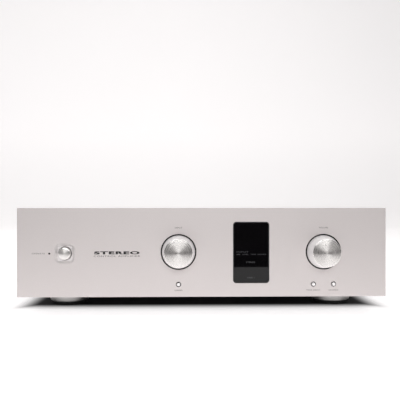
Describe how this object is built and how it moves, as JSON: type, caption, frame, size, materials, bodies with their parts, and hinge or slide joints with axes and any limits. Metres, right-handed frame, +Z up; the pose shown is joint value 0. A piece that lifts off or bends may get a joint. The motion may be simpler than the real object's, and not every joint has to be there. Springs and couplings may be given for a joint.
{
  "type": "control amplifier",
  "caption": "Full-width hi-fi control amplifier with a thick silver front panel, turned rotary knobs, upright dark display, push buttons and rear audio sockets.",
  "frame": {"origin": "centre of the bounding box's footprint, on the surface that the feet stand on", "axes": "+X to the right seen from the front, +Y to the rear, +Z up; the front panel faces -Y"},
  "size_m": [0.44, 0.43, 0.13],
  "materials": {
    "satin_aluminium": "bead-blasted and silver anodised",
    "turned_aluminium": "turned, spun face, silver anodised",
    "black_steel": "fine satin black paint",
    "zinc_steel": "zinc plated",
    "black_screw": "black oxide",
    "steel_screw": "zinc plated",
    "silver_foot": "turned, satin",
    "black_rubber": "matte",
    "black_moulding": "fine matte moulding",
    "smoked_glass": "polished, smoked",
    "spring_steel": "bright wire",
    "clear_lamp": "clear, dark when off",
    "circuit_board": "solder mask",
    "nickel_brass": "nickel plated",
    "gold_brass": "gold plated",
    "socket_body": "black moulding",
    "latch_tab": "satin nickel",
    "winding": "taped copper winding over a steel core",
    "capacitor_can": "sleeved can",
    "potted_module": "potted, dark grey",
    "lead_cover": "flexible cover"
  },
  "bodies": {
    "chassis": {"balanced_cores": "socket_body", "balanced_input_lower": "socket_body", "balanced_input_upper": "socket_body", "balanced_outputs": "socket_body", "base_tray": "zinc_steel", "board_spacers": "nickel_brass", "control_board": "circuit_board", "display_frame": "black_moulding", "display_glass": "smoked_glass", "display_module": "black_moulding", "encoder_nuts": "nickel_brass", "filter_capacitors": "capacitor_can", "foot_front_left": "silver_foot", "foot_front_right": "silver_foot", "foot_pads": "black_rubber", "foot_rear_left": "silver_foot", "foot_rear_right": "silver_foot", "foot_screws": "steel_screw", "front_panel": "satin_aluminium", "ground_post": "nickel_brass", "input_encoder": "black_moulding", "line_modules": "potted_module", "machine_screws": "black_screw", "main_board": "circuit_board", "mains_inlet": "black_moulding", "mains_lead": "lead_cover", "partition": "zinc_steel", "phono_blocks": "black_moulding", "phono_shells": "gold_brass", "power_light": "clear_lamp", "power_spring": "spring_steel", "push_switches": "black_moulding", "rear_panel": "black_steel", "relays": "black_moulding", "ribbon_cable": "lead_cover", "side_panel_left": "black_steel", "side_panel_right": "black_steel", "socket_pins": "nickel_brass", "sub_panel": "zinc_steel", "supply_board": "circuit_board", "top_cover": "black_steel", "transformer": "winding", "transformer_base": "black_rubber", "transformer_bolt": "steel_screw", "transformer_plate": "zinc_steel", "volume_encoder": "black_moulding"},
    "input_selector": {"input_knob": "turned_aluminium", "input_knob_screw": "steel_screw", "input_shaft": "steel_screw"},
    "volume_control": {"volume_knob": "turned_aluminium", "volume_knob_screw": "steel_screw", "volume_shaft": "steel_screw"},
    "power_button": {"power_button": "turned_aluminium"},
    "dimmer_button": {"dimmer_button": "turned_aluminium"},
    "tone_button": {"tone_button": "turned_aluminium"},
    "loudness_button": {"loudness_button": "turned_aluminium"},
    "input_latch_upper": {"input_latch_upper": "latch_tab"},
    "input_latch_lower": {"input_latch_lower": "latch_tab"},
    "ground_washer": {"ground_washer": "nickel_brass"},
    "ground_nut": {"ground_nut": "nickel_brass"}
  },
  "joints": [
    {"name": "input_selector_turn", "type": "hinge", "parent": "chassis", "child": "input_selector", "pos_m": [-0.0286, -0.195, 0.0775], "axis": [0, 1, 0], "continuous": true},
    {"name": "volume_control_turn", "type": "hinge", "parent": "chassis", "child": "volume_control", "pos_m": [0.1448, -0.195, 0.0775], "axis": [0, 1, 0], "continuous": true},
    {"name": "power_button_press", "type": "slide", "parent": "chassis", "child": "power_button", "axis": [0, 1, 0], "range_m": [0, 0.003], "stiffness_N_per_m": 500, "springref_m": -0.002, "deforming": ["power_spring"]},
    {"name": "dimmer_button_press", "type": "slide", "parent": "chassis", "child": "dimmer_button", "axis": [0, 1, 0], "range_m": [0, 0.001], "stiffness_N_per_m": 1200, "springref_m": -0.0004},
    {"name": "tone_button_press", "type": "slide", "parent": "chassis", "child": "tone_button", "axis": [0, 1, 0], "range_m": [0, 0.001], "stiffness_N_per_m": 1200, "springref_m": -0.0004},
    {"name": "loudness_button_press", "type": "slide", "parent": "chassis", "child": "loudness_button", "axis": [0, 1, 0], "range_m": [0, 0.001], "stiffness_N_per_m": 1200, "springref_m": -0.0004},
    {"name": "input_latch_upper_press", "type": "slide", "parent": "chassis", "child": "input_latch_upper", "axis": [0, -1, 0], "range_m": [0, 0.0015], "stiffness_N_per_m": 1500, "springref_m": -0.0005},
    {"name": "input_latch_lower_press", "type": "slide", "parent": "chassis", "child": "input_latch_lower", "axis": [0, -1, 0], "range_m": [0, 0.0015], "stiffness_N_per_m": 1500, "springref_m": -0.0005},
    {"name": "ground_washer_slide", "type": "slide", "parent": "chassis", "child": "ground_washer", "axis": [0, 1, 0], "range_m": [0, 0.0035]},
    {"name": "ground_nut_turn", "type": "hinge", "parent": "ground_washer", "child": "ground_nut", "pos_m": [-0.096, 0.203, 0.064], "axis": [0, 1, 0], "range_deg": [0, 1801]}
  ],
  "couplings": [
    {"joint": "ground_nut_turn", "follows": "ground_washer_slide", "rad_per_m": 8976}
  ]
}
